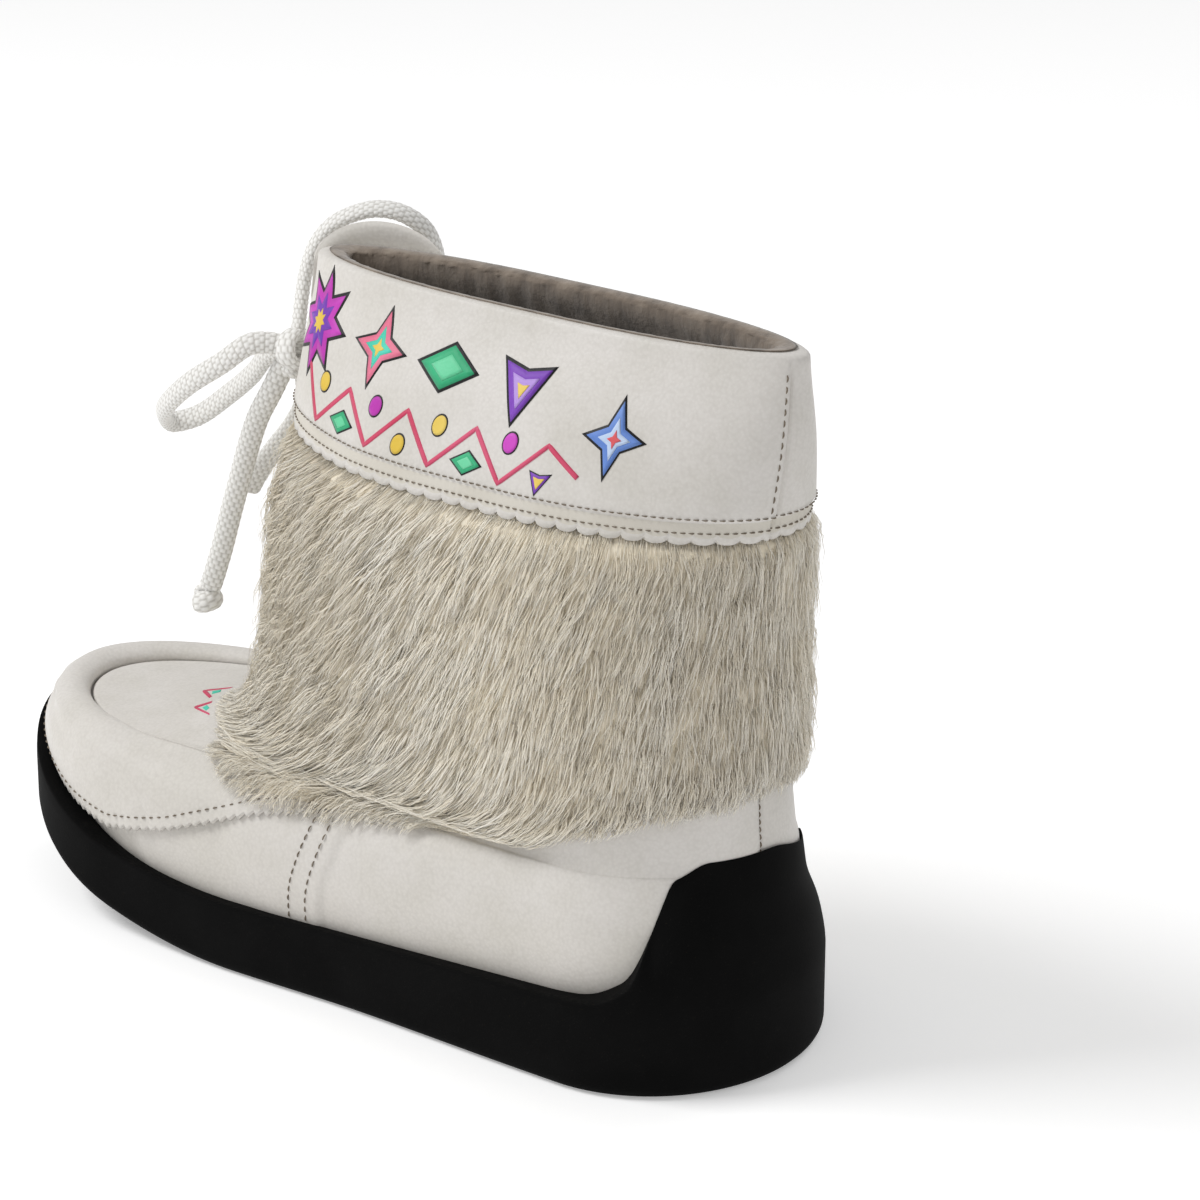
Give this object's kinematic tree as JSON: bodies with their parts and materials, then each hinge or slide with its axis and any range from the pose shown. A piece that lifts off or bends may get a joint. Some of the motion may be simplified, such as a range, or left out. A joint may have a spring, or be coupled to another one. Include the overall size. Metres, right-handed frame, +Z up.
{
  "type": "mukluk boot",
  "caption": "Left ankle mukluk with cup sole, sprung toe, hollow leather upper, apron toe, long fur band, folded cuff and a cord bow.",
  "frame": {"origin": "middle of the footprint of the boot, on the surface it stands on", "axes": "+X from the heel to the toe, +Y to the outer side of this left boot, +Z up"},
  "size_m": [0.2738, 0.1022, 0.2185],
  "materials": {
    "black_rubber": "matte moulded black rubber",
    "felt": "taupe felt",
    "white_leather": "off-white fine-grained leather, soft sheen",
    "fur": "cream long-haired fur with taupe streaks",
    "knitted_cord": "white tubular knit"
  },
  "bodies": {
    "root": {"outsole": "black_rubber", "insole": "felt", "upper": "white_leather", "toe_apron": "white_leather", "toe_plug": "white_leather", "cuff": "white_leather", "front_tab": "white_leather", "fur_band": "fur", "tie_knot": "knitted_cord", "tie_side_loop": "knitted_cord", "tie_back_loop": "knitted_cord", "tie_long_end": "knitted_cord", "tie_long_end_knot": "knitted_cord", "tie_short_end": "knitted_cord"}
  },
  "joints": []
}
